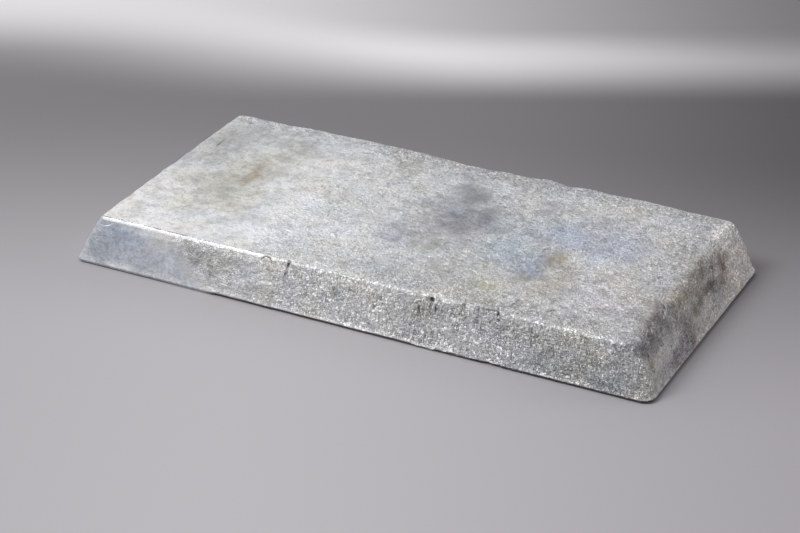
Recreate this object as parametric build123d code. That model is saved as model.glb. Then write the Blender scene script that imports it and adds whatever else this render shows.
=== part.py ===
from build123d import *
import os
from math import cos, pi, radians, sin, sqrt, tan

# A cast zinc slab, turned out of an open mould and lying on its pouring face.
# Millimetres. +X runs along the length, +Y across, +Z up.
# The origin is the middle of the slab's foot, on the floor.

# Widest outline, at the lip, and the height of the casting
length = 460.0
width = 214.0
height = 39.5

# Draft of each wall in degrees from upright: steep along the sides, open at the ends
left_draft = 28.3
right_draft = 25.6
front_draft = 9.6
back_draft = 5.4

# Bow of the walls: how far their middle stands out from a straight draft
end_bow = 1.3
side_bow = 0.5

# Rounding between each wall and the flat top, softer at the right end
left_edge_radius = 2.4
right_front_edge_radius = 9.0
right_back_edge_radius = 5.0
front_edge_radius = 2.2
back_edge_radius = 2.2

# Upright corners of the mould, each with its own softness at the foot and at the top
front_left_foot_radius = 6.0
front_left_top_radius = 2.5
front_right_foot_radius = 9.0
front_right_top_radius = 8.0
back_right_foot_radius = 8.0
back_right_top_radius = 5.0
back_left_foot_radius = 7.0
back_left_top_radius = 5.0

# Lip: the skin that climbed the mould at the pouring surface
lip_height = 2.2
lip_radius = 1.0

# Foot flare: each wall kicks out over its lowest stretch, down to the lip
flare_height = 5.5
flare_width = 0.7
flare_blend_radius = 9.0

# Shrink dish of the pouring face, inside the rim that the slab rests on
rim_width = 14.0
dish_depth = 2.2
dish_corner_radius = 12.0

# How far the dish slopes in towards the middle line before it is flat
dish_slope_share = 0.74

# Where the outlines of the lofts lie, as shares of the zone that they shape
wall_shares = (0.2, 0.4, 0.6, 0.8, 1.0)
crown_shares = (1.0, 0.65, 0.38, 0.17, 0.05, 0.0)
dish_shares = (0.0, 0.3, 0.6, 1.0)

# The softest edge sets how deep below the top the rounding starts
crown_depth = max(
    left_edge_radius,
    right_front_edge_radius,
    right_back_edge_radius,
    front_edge_radius,
    back_edge_radius,
)


def flare_inset(level):
    """How far the flare has drawn the wall in at a level above the lip."""
    climb = (level - lip_height) / (flare_height - lip_height)
    return flare_width * min(max(climb, 0.0), 1.0)


def bow_reach(level, bow):
    """How far the bow carries a wall out at a level: nothing at the lip and at the top."""
    share = max(level - lip_height, 0.0) / (height - lip_height)
    return 4 * bow * share * (1 - share)


def wall_inset(level, draft, bow, edge_radius):
    """How far a wall stands in at a level: flare and bowed face, then the arc into the top."""
    angle = radians(draft)
    depth = height - level
    shape_inset = flare_inset(level) - bow_reach(level, bow)
    if depth >= edge_radius * (1 - sin(angle)):
        return shape_inset + max(level - lip_height, 0.0) * tan(angle)
    arc_centre_rise = height - edge_radius - lip_height
    arc_centre_inset = arc_centre_rise * tan(angle) + edge_radius / cos(angle)
    return shape_inset + arc_centre_inset - sqrt(depth * (2 * edge_radius - depth))


def rounded_outline(corners, radii, level):
    """Closed outline through four corners, each rounded with its own radius."""
    outline = make_face(Polyline(*corners, close=True))
    for corner, radius in zip(corners, radii):
        outline = fillet(outline.vertices().sort_by_distance(corner)[0], radius)
    return Pos(0, 0, level) * outline


def corner_radius(foot_radius, top_radius, level):
    """Radius of an upright corner at a level."""
    return foot_radius + (top_radius - foot_radius) * level / height


def slab_outline(level):
    """Plan outline of the casting at a level."""
    left = wall_inset(level, left_draft, end_bow, left_edge_radius) - length / 2
    right_front = length / 2 - wall_inset(level, right_draft, end_bow, right_front_edge_radius)
    right_back = length / 2 - wall_inset(level, right_draft, end_bow, right_back_edge_radius)
    front = wall_inset(level, front_draft, side_bow, front_edge_radius) - width / 2
    back = width / 2 - wall_inset(level, back_draft, side_bow, back_edge_radius)
    corners = [(left, front), (right_front, front), (right_back, back), (left, back)]
    radii = [
        corner_radius(front_left_foot_radius, front_left_top_radius, level),
        corner_radius(front_right_foot_radius, front_right_top_radius, level),
        corner_radius(back_right_foot_radius, back_right_top_radius, level),
        corner_radius(back_left_foot_radius, back_left_top_radius, level),
    ]
    return rounded_outline(corners, radii, level)


def level_edges(body, level):
    """The edges of a body that lie flat at one level."""
    return body.edges().filter_by_position(Axis.Z, level, level)


def walls():
    """Lip, flare and drafted walls, up to where the top edges start to round."""
    rise = height - crown_depth - flare_height
    levels = [0.0, lip_height, flare_height]
    levels += [flare_height + rise * share for share in wall_shares]
    body = loft([slab_outline(level) for level in levels], ruled=True)
    body = fillet(level_edges(body, flare_height), flare_blend_radius)
    body = fillet(level_edges(body, lip_height), lip_radius)
    return fillet(level_edges(body, 0.0), lip_radius)


def crown():
    """The rounded top edges and the flat top, each edge with its own softness."""
    levels = [height - crown_depth * share for share in crown_shares]
    return loft([slab_outline(level) for level in levels])


def dish_outline(share):
    """Plan outline of the dish part of the way from its rim to its floor."""
    inset = rim_width + (width / 2 - rim_width) * dish_slope_share * share
    half_length = length / 2 - inset
    half_width = width / 2 - inset
    corners = [
        (-half_length, -half_width),
        (half_length, -half_width),
        (half_length, half_width),
        (-half_length, half_width),
    ]
    radii = [dish_corner_radius] * len(corners)
    return rounded_outline(corners, radii, dish_depth * sin(pi / 2 * share))


def shrink_dish():
    """Shallow hollow that the metal leaves in the pouring face as it freezes."""
    return loft([dish_outline(share) for share in dish_shares])


def ingot():
    """One cast piece."""
    return walls() + crown() - shrink_dish()


os.makedirs("parts", exist_ok=True)
slab = ingot()
export_step(slab, "parts/ingot.step")
print("volume in cubic centimetres:", round(slab.volume / CM**3, 1))
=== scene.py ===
"""Dresses a cast zinc slab in its skin of pits, cracks and stains, on a studio floor."""
import math

import bpy
import numpy as np
from bpy.props import FloatProperty, FloatVectorProperty, PointerProperty
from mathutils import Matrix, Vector
from mathutils.noise import noise_vector, seed_set


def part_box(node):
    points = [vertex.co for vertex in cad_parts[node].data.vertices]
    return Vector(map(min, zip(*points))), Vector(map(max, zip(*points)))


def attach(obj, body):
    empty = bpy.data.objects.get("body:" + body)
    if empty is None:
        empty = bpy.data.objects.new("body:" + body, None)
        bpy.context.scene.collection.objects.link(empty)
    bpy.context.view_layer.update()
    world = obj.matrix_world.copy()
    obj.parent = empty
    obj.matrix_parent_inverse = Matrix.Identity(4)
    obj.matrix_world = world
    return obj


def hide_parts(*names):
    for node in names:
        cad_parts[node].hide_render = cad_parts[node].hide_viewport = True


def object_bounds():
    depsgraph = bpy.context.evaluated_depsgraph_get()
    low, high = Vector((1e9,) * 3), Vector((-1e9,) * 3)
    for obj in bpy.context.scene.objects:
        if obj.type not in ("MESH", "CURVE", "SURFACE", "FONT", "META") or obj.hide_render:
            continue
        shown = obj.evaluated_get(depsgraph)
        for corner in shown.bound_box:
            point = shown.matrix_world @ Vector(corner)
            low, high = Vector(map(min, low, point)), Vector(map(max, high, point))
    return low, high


bl_info = {
    "name": "Cast Zinc Slab",
    "version": (1, 0, 0),
    "blender": (4, 5, 0),
    "location": "3D View > Sidebar > Zinc Slab",
    "description": "Models the skin of a cast zinc slab round its solid and sets up a studio floor",
    "category": "Object",
}

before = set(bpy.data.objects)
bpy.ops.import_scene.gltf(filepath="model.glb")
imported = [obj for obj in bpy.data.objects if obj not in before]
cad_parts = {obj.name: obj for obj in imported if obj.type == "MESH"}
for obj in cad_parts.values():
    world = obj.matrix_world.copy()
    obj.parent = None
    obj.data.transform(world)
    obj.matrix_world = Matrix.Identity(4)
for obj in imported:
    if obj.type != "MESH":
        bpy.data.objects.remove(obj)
cad_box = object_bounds()

MM = 0.001

# Places below are in mm: X along the slab, Y across, Z up from the floor.

# The solid's half length, half width and height
HALF_LENGTH, HALF_WIDTH, HEIGHT = (round(reach / MM, 3) for reach in cad_box[1])

# Corner radii of the flat top: front left, front right, back right and back left
TOP_CORNER_RADII = (3.0, 8.0, 5.5, 5.5)

# Rings of the skin: depths below the top of those that draw the rounded edge, levels of those at
# the lip, and how far each one under the slab is drawn in
CROWN_DEPTHS = (0.1, 0.3, 0.6, 1.0, 1.5, 2.2, 3.2, 4.4, 5.8)
LIP_LEVELS = (3.4, 2.8, 2.3, 1.8, 1.3, 0.8, 0.4, 0.1, 0.0)
FOOT_INSETS = (1.0, 1.5, 2.0, 2.5, 3.0, 3.0, 3.0)

# Share of a cell between two rings of a wall, and gap that is bridged to the foot's sheet
RING_SHARE = 0.9
FOOT_GAP = 2.5

# Hair's breadth that keeps a ray clear of an edge, and how far the skin may stand above the top
HAIR = 0.01
HEADROOM = 1.1

# Width beside a crack in which the faces are split
REFINED_WIDTH = 1.4

# Steps in which a vertex group is painted
WEIGHT_STEPS = 50

# Outward directions between which a face comes to count as a wall or as the top, and limits of
# those that belong to the front wall, to the underside and to the pouring face
WALL_FACING = (0.3, 0.8)
TOP_FACING = (0.85, 0.99)
FRONT_FACING = -0.5
UNDERSIDE_FACING = -0.5
FOOT_FACING = -0.6

# Level that parts the flat top from the dish
TOP_LEVEL = HEIGHT - 9.5

# Margin that the pouring face's ripple keeps, and the width in which it sets in
FOOT_MARGIN = 6
FOOT_FADE = 12

# Clean corner of the front wall, smooth and bare: where it ends at the top of the lip, how much
# nearer to the left end that is for each mm of height, and the widths of its fade left and right
LIP_TOP = 2
SMOOTH_CORNER = (-108, 1.0, 18, 8)
BARE_CORNER = (-112, 1.6, 34, 24)
SMOOTH_SHARE = 0.93

# Profiles: a share at the start, then each step with the two places between which it is climbed
FRONT_ROUGHNESS = (0.36, (0.44, -85, -20), (0.2, 20, 70))
WALL_FOOT_ROUGHNESS = (0.3, (0.7, 0.5, 6))
CENTRE_ROUGHNESS = (0, (0.45, -120, -60), (0.08, 10, 70))
GRAIN_ALONG = (0, (1, 30, 75), (-0.55, 122, 135))
GRAIN_UP = (1, (-0.5, 27, 34))
SMOOTH_LEFT = (1, (-1, -95, -45))
# Painted shade along the lip's foot: half as strong towards the left end
LIP_SHADE_ALONG = (0.5, (0.5, -125, -105))

# Roughness of the top: everywhere, and added at its front, right and back rims
TOP_ROUGHNESS = 0.1
FRONT_RIM = 0.6
RIGHT_RIM = 0.5
BACK_RIM = 0.4

# Places between which the rims set in, from the middle outwards, and the front one along the slab
FRONT_RIM_FROM = (74, 98)
FRONT_RIM_ALONG = (-20, 40)
RIGHT_RIM_FROM = (170, 208)
BACK_RIM_FROM = (78, 98)

# Share of their roughness that the left end, its smooth part and the back wall lose, share of
# the slow sag that the pouring face loses, and level at which the sag is full
LEFT_LOSS = 0.3
SMOOTH_LEFT_LOSS = 0.7
BACK_LOSS = 0.15
FOOT_LOSS = 0.7
SAG_FROM = (0, 6)

# How bare the smooth part of the left end is
BARE_LEFT = 0.8

# Broad noise of the skin: its detail, then the grain, depth, noise basis and zone of each
RELIEF_DETAIL = 2
RELIEF = (
    ("slow sag", 80, 0.9, "BLENDER_ORIGINAL", "all"),
    ("wall lumps", 16, 1.7, "BLENDER_ORIGINAL", "rough wall"),
    ("wall knobs", 7, 0.9, "BLENDER_ORIGINAL", "rough wall"),
    ("wall cells", 5, 0.8, "VORONOI_F1", "granular"),
    ("wall grit", 3.2, 1.4, "IMPROVED_PERLIN", "granular"),
    ("wall skin", 3.5, 0.5, "IMPROVED_PERLIN", "rough wall"),
    ("top swell", 26, 0.5, "BLENDER_ORIGINAL", "top"),
    ("top ripple", 8, 0.35, "BLENDER_ORIGINAL", "top"),
    ("top grit", 3.4, 0.3, "IMPROVED_PERLIN", "rough top"),
    ("pouring ripple", 18, 0.9, "BLENDER_ORIGINAL", "foot"),
    ("pouring frost", 6, 0.5, "VORONOI_F2_F1", "foot"),
)

# Waves of the back top edge: place along the edge, half width and rise
BACK_WAVES = (
    (-138, 16, 0.9),
    (-105, 22, 1.1),
    (-75, 20, 1.2),
    (-40, 16, 0.9),
    (-2, 14, -0.9),
    (14, 9, -0.6),
    (62, 12, 1.1),
    (79, 7, -0.9),
    (98, 15, 1.0),
    (143, 24, 1.1),
)

# Places across and up between which the waves set in
WAVES_ACROSS = (66, 97)
WAVES_UP = (22, 38)

# Lip that hangs above the floor: stretch of the front, gap under it and fade at both ends
FRONT_LIP = ((-225, -147, 0.6, 6), (-112, -42, 1.4, 3), (-112, 250, 0.8, 3), (150, 250, 0.9, 20))

# Tongues and bites of the front lip: place along the edge, half width and drop or rise
LIP_BITES = (
    (-117, 5, -0.2),
    (-68, 7, -0.7),
    (60, 9, -0.8),
    (109, 3, 1.6),
    (116, 3, 1.1),
    (-20, 12, 0.4),
)

# Gap under the other lips and under the right end's, and places up and in between which it ends
OTHER_GAP = 0.8
RIGHT_GAP = 1.4
GAP_UP = (0.6, 10)
GAP_IN = (5, 16)

# Inset of the front lip, width of the strip that hangs with it, inset of the right end's lip, and
# how far in from the front corner that one starts
FRONT_LIP_INSET = 12
FRONT_LIP_WIDTH = 14
RIGHT_LIP_INSET = 11
RIGHT_LIP_START = 6

# Furthest that each kind of mark moves the skin
WAVE_REACH = 1.2
GAP_REACH = 3
HOLLOW_REACH = 2.5
SWELL_REACH = 1
CRACK_REACH = 1.6
SCRATCH_REACH = 1

# Shares of its half size at which a hollow or a tinted patch starts to fade and has ended
HOLLOW_FADE = (0.2, 1.1)
PATCH_FADE = (0.2, 1.4)

# Power that rounds the sides of a crack
CRACK_ROUNDING = 1.5

# Hollows and swells: centre, half sizes and depth, negative outwards
HOLLOWS = (
    ((168, -104, 17), (40, 10, 6), 1.0),
    ((170, -106, 9), (24, 8, 4), -0.6),
    ((62.3, -100.7, 36.2), (3.8, 5, 3.6), 3.0),
    ((53.8, -101, 33), (2.2, 4, 3), 1.0),
    ((58, -102, 29), (5, 5, 7), 0.7),
    ((106, -100.5, 36), (9, 6, 4), 1.0),
    ((87, -103, 10), (14, 6, 8), 0.6),
    ((-72.4, -102.8, 25.9), (1.8, 3, 1.5), 0.8),
    ((-192, 93, 39.5), (2.2, 4, 3), 0.8),
    ((221, -88, 20), (4, 3, 11), 1.4),
    ((224, -93, 18), (5, 3, 12), -0.7),
    ((219, -62, 26), (5, 22, 6), 0.9),
    ((221, 15, 22), (5, 26, 6), 1.1),
    ((220, -30, 24), (5, 7, 12), -0.8),
    ((14, -80, 39.5), (16, 9, 4), 0.35),
    ((-58, -17, 39.5), (14, 9, 4), 0.3),
    ((30, 20, 39.5), (26, 40, 4), 0.3),
    ((110, -20, 39.5), (50, 30, 4), 0.35),
    ((-146, 6, 39.5), (9, 15, 4), 0.35),
)

# Cracks and creases: their course, half width and depth
CRACKS = (
    (((-51, -98.6, 39.5), (-50.4, -99.6, 38.8), (-51.2, -101.1, 34.4), (-53, -102.3, 28.2)), 0.8, 1.5),
    (
        (
            (-73, -101, 35.4),
            (-72, -100.4, 37.2),
            (-69.5, -99.7, 38.8),
            (-66, -99.9, 38.4),
            (-64, -101, 34.6),
        ),
        0.6,
        0.55,
    ),
    (((62.3, -101, 35), (62.3, -102, 30), (63.6, -103, 24.5)), 1.1, 1.3),
    (((66.4, -101, 34), (66.5, -102, 28)), 0.8, 0.8),
    (((53.8, -101.9, 31), (53.6, -103.2, 23.6)), 0.9, 0.9),
    (((57.6, -101.9, 30.4), (58.1, -102.8, 25.4)), 0.8, 0.8),
    (
        (
            (87.4, -102, 32),
            (87.5, -100.3, 37.9),
            (87.4, -99, 39.2),
            (89, -97.1, 39.5),
            (92.4, -97, 39.5),
        ),
        0.9,
        1.2,
    ),
    (((98.1, -100, 38.2), (98.4, -102.2, 29)), 0.9, 1.1),
    (((102.8, -100.5, 37.2), (102.7, -101.7, 32.3)), 0.8, 0.9),
    (((105.6, -100, 38.5), (105.8, -101.7, 32.3)), 0.8, 0.9),
    (((112.8, -99.3, 39.1), (114.5, -101.1, 34.2)), 1.0, 1.2),
    (((98, -98.5, 39.3), (112.5, -98.2, 39.3)), 0.9, 0.7),
    (((28.6, -103.3, 23), (30.6, -103.9, 19)), 0.8, 0.6),
    (((19.2, -103.4, 22.3), (18.6, -103.8, 19.9)), 0.8, 0.5),
    (((-13.2, -102.2, 28.8), (-12.8, -103.1, 23.8)), 0.7, 0.4),
    (((218, -86.5, 27), (221, -88.5, 20), (224, -88.5, 14)), 0.9, 0.5),
    (((142.9, -84.7, 39.5), (146, -80, 39.5)), 0.9, 0.5),
    (((117.6, -86, 39.5), (118.6, -76, 39.5)), 0.9, 0.5),
    (((104.2, -0.5, 39.5), (109.3, 2.1, 39.5)), 0.8, 0.4),
    (((-195, 41, 39.5), (-196, 58, 39.5)), 0.8, 0.4),
    (((216, 17.8, 32), (219.5, 15, 25), (222, 12, 20)), 0.8, 0.5),
    (((216, 42, 32), (220, 37, 24)), 0.8, 0.4),
    (((-60, 100, 39), (-58, 102, 30), (-61, 103.5, 22)), 1.0, 1.1),
    (((120, 99.5, 39), (121, 102, 31)), 1.0, 1.0),
    (((-214, 20, 32), (-219, 24, 24)), 1.0, 0.9),
)

# Scratches and smears that shine: their course, half width and depth
SCRATCHES = (
    (
        ((-210.8, -101.6, 32.7), (-206.3, -101.9, 31.8), (-201.3, -101.3, 33.5), (-198.8, -100.8, 35.9)),
        0.55,
        0.35,
    ),
    (
        ((-212.5, -102.1, 29.2), (-209.8, -102.4, 27.9), (-205.3, -102.6, 26.9), (-199.2, -102.6, 27)),
        0.6,
        0.4,
    ),
    (
        ((-212.9, -103.8, 19.9), (-209.5, -103.5, 21.8), (-206, -103.4, 22.2), (-203.3, -103.6, 21.2)),
        0.55,
        0.35,
    ),
    (((-211, -103.6, 23), (-206, -103.3, 24)), 0.5, 0.2),
    (((-208, -101.5, 35.5), (-203, -101, 36.5)), 0.5, 0.2),
    (((-178, -100.8, 36.5), (-177.2, -103, 26)), 0.6, 0.1),
    (((-174.5, -100.8, 36.5), (-172.8, -103.5, 22)), 0.6, 0.1),
    (((-170.2, -100.8, 36.5), (-168.6, -102.9, 27)), 0.6, 0.1),
    (((-159.9, -100.8, 36.5), (-158.5, -102.2, 30)), 0.6, 0.1),
)

# Stains, and patches of painted light on the front wall and its foot strip, of painted highlight along
# the front top edge and of painted light at the right end's back corner: centre, half sizes and the tint
# that the zinc takes there
STAINS_AND_PAINTED_LIGHT = (
    ((-192, -62, 39.5), (32, 46, 14), (1.12, 1.10, 1.06)),
    ((-150, -85, 39.5), (30, 18, 14), (1.10, 1.09, 1.07)),
    ((-148, -22, 39.5), (30, 34, 14), (0.82, 0.81, 0.74)),
    ((-143, 16, 39.5), (26, 30, 14), (0.82, 0.80, 0.73)),
    ((-143, 8, 39.5), (6, 22, 14), (0.80, 0.72, 0.64)),
    ((-138, 58, 39.5), (26, 20, 14), (0.84, 0.84, 0.80)),
    ((-190, 62, 39.5), (30, 42, 14), (0.63, 0.63, 0.61)),
    ((-196, 14, 39.5), (22, 26, 14), (0.86, 0.86, 0.85)),
    ((-110, 80, 39.5), (22, 22, 14), (0.93, 0.93, 0.95)),
    ((-75, 45, 39.5), (30, 28, 14), (1.12, 1.12, 1.13)),
    ((-72, -44, 39.5), (38, 38, 14), (1.22, 1.23, 1.27)),
    ((-26, -50, 39.5), (14, 26, 14), (1.22, 1.22, 1.19)),
    ((-58, -14, 39.5), (16, 8, 14), (0.86, 0.87, 0.88)),
    ((-84, -8, 39.5), (12, 8, 14), (1.14, 1.14, 1.18)),
    ((-46, 82, 39.5), (12, 14, 14), (0.80, 0.81, 0.84)),
    ((-32, 30, 39.5), (24, 28, 14), (1.14, 1.14, 1.15)),
    ((-6, -22, 39.5), (14, 22, 14), (0.76, 0.78, 0.84)),
    ((14, 76, 39.5), (16, 20, 14), (0.66, 0.67, 0.70)),
    ((22, 54, 39.5), (22, 16, 14), (0.49, 0.50, 0.53)),
    ((30, 22, 39.5), (28, 32, 14), (0.45, 0.46, 0.51)),
    ((22, -8, 39.5), (26, 24, 14), (0.70, 0.70, 0.73)),
    ((56, 24, 39.5), (16, 26, 14), (0.74, 0.78, 0.84)),
    ((80, 60, 39.5), (12, 12, 14), (0.72, 0.72, 0.74)),
    ((80, -12, 39.5), (24, 26, 14), (0.76, 0.85, 0.93)),
    ((104, -32, 39.5), (16, 20, 14), (0.66, 0.72, 0.86)),
    ((108, 30, 39.5), (20, 26, 14), (0.64, 0.70, 0.84)),
    ((146, 22, 39.5), (28, 28, 14), (0.70, 0.75, 0.87)),
    ((146, 0, 39.5), (10, 8, 14), (1.18, 1.22, 1.28)),
    ((150, 46, 39.5), (8, 7, 14), (1.2, 1.22, 1.28)),
    ((119, -12, 39.5), (12, 18, 14), (0.48, 0.44, 0.37)),
    ((106, -46, 39.5), (10, 8, 14), (0.66, 0.66, 0.58)),
    ((88, -66, 39.5), (16, 14, 14), (0.84, 0.84, 0.72)),
    ((132, -50, 39.5), (18, 28, 14), (0.76, 0.73, 0.70)),
    ((118, -86, 39.5), (44, 10, 14), (0.88, 0.87, 0.84)),
    ((176, -50, 39.5), (40, 50, 14), (0.92, 0.89, 0.89)),
    ((180, 40, 39.5), (26, 30, 14), (0.88, 0.88, 0.88)),
    ((185, 84, 39.5), (40, 20, 14), (0.92, 0.92, 0.93)),
    ((-135, 84, 39.5), (30, 24, 14), (0.78, 0.78, 0.77)),
    ((-178, -14, 39.5), (20, 16, 14), (0.82, 0.80, 0.78)),
    # Painted highlight: the bright band along the top's front rim
    ((62, -90, 39.5), (62, 9, 14), (1.16, 1.15, 1.13)),
    ((188, -40, 39.5), (20, 34, 14), (1.12, 1.10, 1.10)),
    ((208, 0, 38), (9, 100, 10), (0.90, 0.89, 0.88)),
    ((60, 88, 39.5), (50, 14, 14), (0.92, 0.92, 0.93)),
    ((18, -76, 39.5), (20, 14, 14), (0.76, 0.79, 0.82)),
    ((150, 0, 39.5), (100, 120, 14), (1.07, 1.06, 1.06)),
    ((-48, -34, 39.5), (44, 56, 14), (1.09, 1.09, 1.09)),
    ((52, -60, 39.5), (26, 34, 14), (0.86, 0.86, 0.86)),
    ((-100, -75, 39.5), (26, 22, 14), (1.12, 1.12, 1.10)),
    ((-84, -88, 39.5), (16, 10, 14), (1.15, 1.15, 1.15)),
    ((-120, -10, 39.5), (14, 20, 14), (1.12, 1.12, 1.10)),
    ((-170, 22, 39.5), (14, 20, 14), (0.84, 0.84, 0.83)),
    ((-162, -52, 39.5), (16, 16, 14), (0.92, 0.90, 0.84)),
    ((50, -5, 39.5), (24, 24, 14), (0.74, 0.74, 0.76)),
    ((14, -36, 39.5), (22, 16, 14), (0.76, 0.77, 0.80)),
    ((142, 54, 39.5), (20, 16, 14), (0.80, 0.81, 0.86)),
    ((4, 28, 39.5), (14, 24, 14), (0.80, 0.80, 0.82)),
    ((80, 24, 39.5), (18, 20, 14), (0.76, 0.80, 0.85)),
    ((86, -46, 39.5), (22, 12, 14), (0.82, 0.82, 0.80)),
    ((114, -56, 39.5), (14, 14, 14), (0.82, 0.82, 0.80)),
    ((-190, -102, 28), (16, 12, 12), (0.72, 0.77, 0.86)),
    # Next three: painted light that lightens the front wall
    ((50, -102, 30), (75, 10, 12), (1.16, 1.16, 1.15)),
    ((-28, -103, 16), (22, 12, 22), (1.16, 1.16, 1.15)),
    ((110, -103, 15), (36, 12, 12), (1.13, 1.13, 1.13)),
    ((155, -101, 33), (10, 10, 8), (0.86, 0.86, 0.87)),
    ((-90, -105, 7), (20, 10, 8), (0.90, 0.90, 0.90)),
    ((-125, -103, 19), (10, 10, 7), (0.86, 0.86, 0.87)),
    ((-147, -103, 18), (4, 12, 16), (1.18, 1.18, 1.18)),
    ((-160, -105, 4), (60, 10, 5), (1.12, 1.10, 1.06)),
    ((-110, -102, 27), (24, 12, 10), (0.80, 0.79, 0.73)),
    ((-62, -102, 30), (14, 12, 8), (1.14, 1.14, 1.12)),
    ((-125, -103, 20), (15, 12, 14), (0.76, 0.78, 0.83)),
    ((-88, -104, 11), (18, 12, 6), (0.84, 0.84, 0.84)),
    ((-207, -103, 14), (14, 12, 14), (0.76, 0.79, 0.82)),
    # Next four: painted highlight along the front top edge
    ((-178, -101, 36), (18, 10, 4), (1.36, 1.34, 1.28)),
    ((-15, -100, 38), (22, 8, 7), (1.25, 1.24, 1.20)),
    ((68, -100, 38), (18, 8, 5), (1.30, 1.29, 1.26)),
    ((188, -100, 38), (26, 8, 5), (1.22, 1.22, 1.20)),
    ((-6, -103, 24), (8, 12, 8), (0.92, 0.97, 1.04)),
    ((-14, -102, 30), (7, 12, 8), (0.88, 0.87, 0.84)),
    # Next two: painted light that lightens the front wall and its foot strip
    ((20, -104, 10), (64, 10, 15), (1.24, 1.24, 1.23)),
    ((14, -107, 2), (70, 8, 4), (1.50, 1.50, 1.49)),
    # Painted light that lightens the front wall
    ((100, -103, 16), (56, 12, 18), (1.22, 1.23, 1.23)),
    # Painted highlight along the front top edge
    ((60, -101, 37), (170, 8, 5), (1.16, 1.16, 1.14)),
    # Next two: painted light that lightens the front wall and the foot strip at the left
    ((-12, -102, 28), (24, 10, 10), (1.18, 1.17, 1.15)),
    ((-190, -107, 2), (40, 8, 5), (1.22, 1.22, 1.18)),
    ((-146, -102, 28), (15, 12, 10), (0.76, 0.78, 0.82)),
    # Painted light that lightens the foot strip at the right
    ((150, -107, 2), (80, 8, 4), (1.60, 1.60, 1.60)),
    ((48, -103, 18), (6, 12, 7), (1.0, 1.06, 1.14)),
    ((60, -102, 31), (9, 12, 9), (0.88, 0.87, 0.84)),
    ((84, -102, 32), (14, 12, 7), (1.08, 1.07, 1.0)),
    # Painted light that lightens the lower front wall
    ((94, -104, 12), (44, 12, 13), (1.50, 1.51, 1.54)),
    ((164, -101, 32), (44, 12, 8), (1.14, 1.13, 1.06)),
    ((170, -104, 15), (46, 12, 9), (0.88, 0.91, 0.92)),
    ((202, -105, 10), (20, 12, 8), (0.56, 0.60, 0.65)),
    ((140, -105, 5), (26, 12, 5), (0.84, 0.88, 0.92)),
    ((224, 0, 18), (18, 150, 34), (1.24, 1.17, 1.10)),
    ((214, -74, 33), (13, 44, 11), (0.37, 0.35, 0.38)),
    ((214, 8, 33), (12, 60, 8), (0.80, 0.76, 0.72)),
    ((213, -42, 37), (10, 14, 6), (0.46, 0.42, 0.45)),
    ((222, -28, 17), (12, 12, 17), (0.50, 0.46, 0.46)),
    ((222, 8, 13), (10, 15, 5), (1.42, 1.34, 1.29)),
    ((226, -42, 8), (12, 26, 8), (0.46, 0.43, 0.48)),
    ((221, -60, 20), (12, 28, 7), (1.52, 1.52, 1.46)),
    ((215, -20, 33), (12, 12, 6), (1.10, 1.08, 1.01)),
    ((219, -2, 21), (12, 18, 5), (0.54, 0.48, 0.44)),
    ((214, -16, 36), (8, 10, 5), (1.42, 1.40, 1.32)),
    ((217, 12, 30), (12, 14, 8), (0.96, 0.94, 0.88)),
    ((220, 35, 21), (10, 22, 6), (0.32, 0.25, 0.22)),
    ((217, 14, 26), (10, 14, 6), (0.78, 0.75, 0.70)),
    ((216, 58, 28), (12, 12, 6), (0.36, 0.30, 0.28)),
    ((214, 28, 37), (10, 18, 6), (0.50, 0.48, 0.43)),
    # Painted light at the back corner of the right end, which is also paler in colour
    ((220, 85, 24), (16, 34, 30), (2.55, 2.37, 2.20)),
    ((227, 40, 5), (10, 80, 8), (1.42, 1.36, 1.30)),
    ((224, -86, 15), (12, 12, 12), (1.15, 1.12, 1.05)),
    ((-222, -20, 26), (14, 34, 14), (0.80, 0.81, 0.84)),
    ((-226, 12, 12), (14, 26, 12), (1.16, 1.14, 1.10)),
    ((-220, 46, 30), (14, 26, 10), (0.74, 0.70, 0.66)),
    ((-225, 84, 16), (14, 24, 18), (0.88, 0.90, 0.94)),
    ((-150, 104, 24), (44, 14, 14), (0.82, 0.83, 0.87)),
    ((-84, 105, 10), (40, 14, 10), (1.14, 1.13, 1.10)),
    ((-20, 104, 28), (30, 14, 10), (0.84, 0.81, 0.77)),
    ((62, 104, 18), (44, 14, 18), (1.10, 1.10, 1.08)),
    ((130, 105, 12), (30, 14, 12), (0.78, 0.79, 0.84)),
    ((184, 103, 28), (26, 14, 12), (0.86, 0.84, 0.80)),
    ((216, -45, 28), (8, 9, 6), (1.30, 1.30, 1.30)),
    ((222, 2, 14), (8, 10, 5), (1.32, 1.27, 1.25)),
    ((217, 4, 28), (8, 9, 5), (1.20, 1.19, 1.15)),
    ((219, 60, 26), (8, 12, 7), (0.74, 0.73, 0.70)),
    ((219, 15, 21), (8, 8, 4), (0.80, 0.78, 0.74)),
    ((225, -18, 7), (8, 12, 4), (0.80, 0.80, 0.84)),
    ((225, 55, 6), (8, 14, 4), (1.16, 1.16, 1.15)),
    ((215, -90, 35), (8, 8, 5), (0.82, 0.80, 0.80)),
)

# Noise that frays the marks: a seed that makes it the same each time, and each grain with its
# reach. Scratches take only a share of it.
FRAY_SEED = 7
FRAYS = ((17, 7), (6, 3))
WAVER = 0.16

# Painted highlight along the crisp front top edge: course, half width and strength
EDGE_HIGHLIGHT = (
    (((-207, -100.3, 37.8), (-110, -100.2, 38.0)), 1.75, 0.95),
    (((-115, -100, 38.3), (-72, -100, 38.4)), 2.0, 0.8),
    (((-72, -99.9, 38.9), (205, -99.9, 38.6)), 3.6, 0.52),
    (((-20, -97.6, 39.5), (205, -97.6, 39.5)), 4.4, 0.42),
)


# What the finish takes from each zone as roughness, and how calm dark stains make the top: the
# least share, the share that it climbs by and the tints between which it does
WALL_FINISH = 0.8
TOP_FINISH = 0.68
GRAIN_FINISH = 0.3
FOOT_FINISH = 0.3
CALM = (0.35, (0.65, 0.5, 0.95))

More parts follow.
